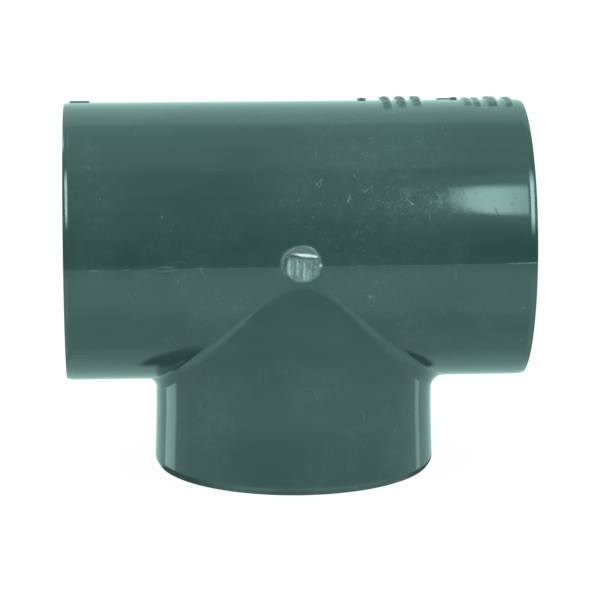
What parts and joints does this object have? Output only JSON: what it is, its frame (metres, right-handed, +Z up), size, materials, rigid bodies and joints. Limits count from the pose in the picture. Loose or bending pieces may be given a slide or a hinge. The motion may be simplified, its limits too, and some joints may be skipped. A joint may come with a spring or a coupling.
{
  "type": "pvc tee fitting",
  "caption": "Equal pipe tee with tapered solvent-weld sockets on a straight run and a branch at right angles, moulded in one piece.",
  "frame": {"origin": "centre of the branch mouth, on the plane of its face", "axes": "+Z up the branch towards the run, +X along the run, -Y the front with the gate scar"},
  "size_m": [0.1178, 0.0728, 0.0954],
  "materials": {
    "grey_pvc": "glossy moulded, with fine dust, scuffs and scratches"
  },
  "bodies": {
    "root": {"tee_body": "grey_pvc"}
  },
  "joints": []
}
